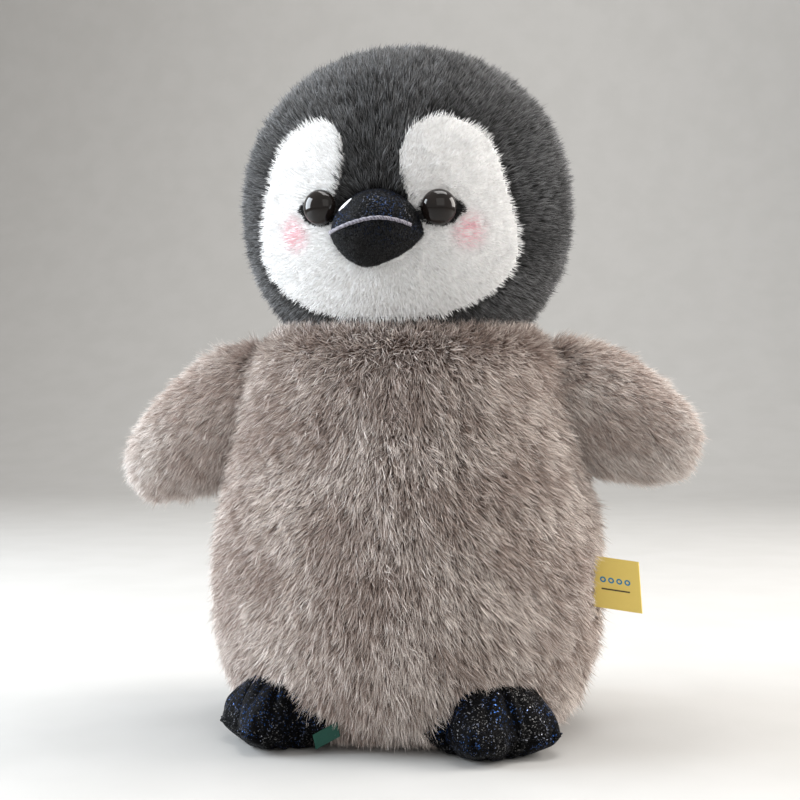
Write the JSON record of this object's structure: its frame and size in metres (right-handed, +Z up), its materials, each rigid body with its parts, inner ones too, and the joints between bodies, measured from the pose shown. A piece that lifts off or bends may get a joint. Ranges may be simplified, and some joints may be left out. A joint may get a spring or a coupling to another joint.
{
  "type": "plush penguin",
  "caption": "Soft toy penguin chick with a round pile-fabric head and body, two flippers, stuffed feet, a padded beak and a side label, standing on a weighted base.",
  "frame": {"origin": "on the ground, below the middle of the whole toy's box", "axes": "+Z up, -Y the way the chick looks, +X the chick's own left side"},
  "size_m": [0.2931, 0.1834, 0.346],
  "materials": {
    "body_plush": "long taupe pile, dark at the root and pale at the tip",
    "hood_plush": "dense charcoal pile",
    "face_plush": "short white pile",
    "fibrefill": "white polyester fibre",
    "pouch_cloth": "plain woven cotton",
    "pellet_plastic": "dull plastic beads",
    "taupe_thread": "twisted polyester thread",
    "dark_thread": "twisted polyester thread",
    "eye_plastic": "high gloss",
    "washer_plastic": "moulded",
    "black_felt": "short black nap",
    "glitter_cloth": "black knit with a crackled glitter film",
    "mouth_thread": "satin stitch cord",
    "green_ribbon": "satin ribbon",
    "yellow_satin": "printed satin"
  },
  "bodies": {
    "torso": {"base_panel": "body_plush", "body_front_panel": "body_plush", "body_back_left_panel": "body_plush", "body_back_right_panel": "body_plush", "body_stuffing": "fibrefill", "pellet_pouch": "pouch_cloth", "pellets": "pellet_plastic", "closing_seam_thread": "taupe_thread"},
    "neck": {"neck_seam_thread": "dark_thread"},
    "head": {"face_panel": "face_plush", "hood_centre_panel": "hood_plush", "hood_left_panel": "hood_plush", "hood_right_panel": "hood_plush", "head_stuffing": "fibrefill", "eye_left": "eye_plastic", "eye_right": "eye_plastic", "eye_washer_left": "washer_plastic", "eye_washer_right": "washer_plastic", "eye_felt_left": "black_felt", "eye_felt_right": "black_felt", "beak_lower_panel": "glitter_cloth", "beak_upper_panel": "glitter_cloth", "beak_stuffing": "fibrefill", "mouth_cord": "mouth_thread"},
    "label": {"side_label": "yellow_satin"},
    "shoulder_left": {"arm_left_seam_thread": "taupe_thread"},
    "arm_left": {"arm_left_front_panel": "body_plush", "arm_left_back_panel": "body_plush", "arm_left_stuffing": "fibrefill"},
    "foot_left": {"foot_left_sole": "glitter_cloth", "foot_left_upper": "glitter_cloth", "foot_left_stuffing": "fibrefill"},
    "shoulder_right": {"arm_right_seam_thread": "taupe_thread"},
    "arm_right": {"arm_right_front_panel": "body_plush", "arm_right_back_panel": "body_plush", "arm_right_stuffing": "fibrefill"},
    "foot_right": {"foot_right_sole": "glitter_cloth", "foot_right_upper": "glitter_cloth", "foot_right_stuffing": "fibrefill", "foot_ribbon": "green_ribbon"}
  },
  "joints": [
    {"name": "head_turn", "type": "hinge", "parent": "torso", "child": "neck", "pos_m": [0, 0.0045, 0.264], "axis": [0, 0, 1], "range_deg": [-16, 24], "stiffness_Nm_per_rad": 0.8},
    {"name": "head_nod", "type": "hinge", "parent": "neck", "child": "head", "pos_m": [0, 0.0045, 0.264], "axis": [1, 0, 0], "range_deg": [-12, 10], "stiffness_Nm_per_rad": 1.5},
    {"name": "arm_left_swing", "type": "hinge", "parent": "torso", "child": "shoulder_left", "pos_m": [0.075, 0.0045, 0.172], "axis": [0, 0, -1], "range_deg": [-20, 25], "stiffness_Nm_per_rad": 0.5},
    {"name": "arm_left_lift", "type": "hinge", "parent": "shoulder_left", "child": "arm_left", "pos_m": [0.075, 0.0045, 0.172], "axis": [0, -1, 0], "range_deg": [-8, 40], "stiffness_Nm_per_rad": 0.6},
    {"name": "foot_left_flex", "type": "hinge", "parent": "torso", "child": "foot_left", "pos_m": [0.047, -0.0355, 0.012], "axis": [-1, 0, 0], "range_deg": [-4, 10], "stiffness_Nm_per_rad": 0.8},
    {"name": "arm_right_swing", "type": "hinge", "parent": "torso", "child": "shoulder_right", "pos_m": [-0.075, 0.0045, 0.172], "axis": [0, 0, 1], "range_deg": [-20, 25], "stiffness_Nm_per_rad": 0.5},
    {"name": "arm_right_lift", "type": "hinge", "parent": "shoulder_right", "child": "arm_right", "pos_m": [-0.075, 0.0045, 0.172], "axis": [0, 1, 0], "range_deg": [-8, 40], "stiffness_Nm_per_rad": 0.6},
    {"name": "foot_right_flex", "type": "hinge", "parent": "torso", "child": "foot_right", "pos_m": [-0.053, -0.031, 0.012], "axis": [-1, 0, 0], "range_deg": [-4, 5], "stiffness_Nm_per_rad": 0.8},
    {"name": "label_flap", "type": "hinge", "parent": "torso", "child": "label", "pos_m": [0.0992, 0.0045, 0.074], "axis": [0, 0, 1], "range_deg": [-60, 60], "stiffness_Nm_per_rad": 0.002}
  ]
}
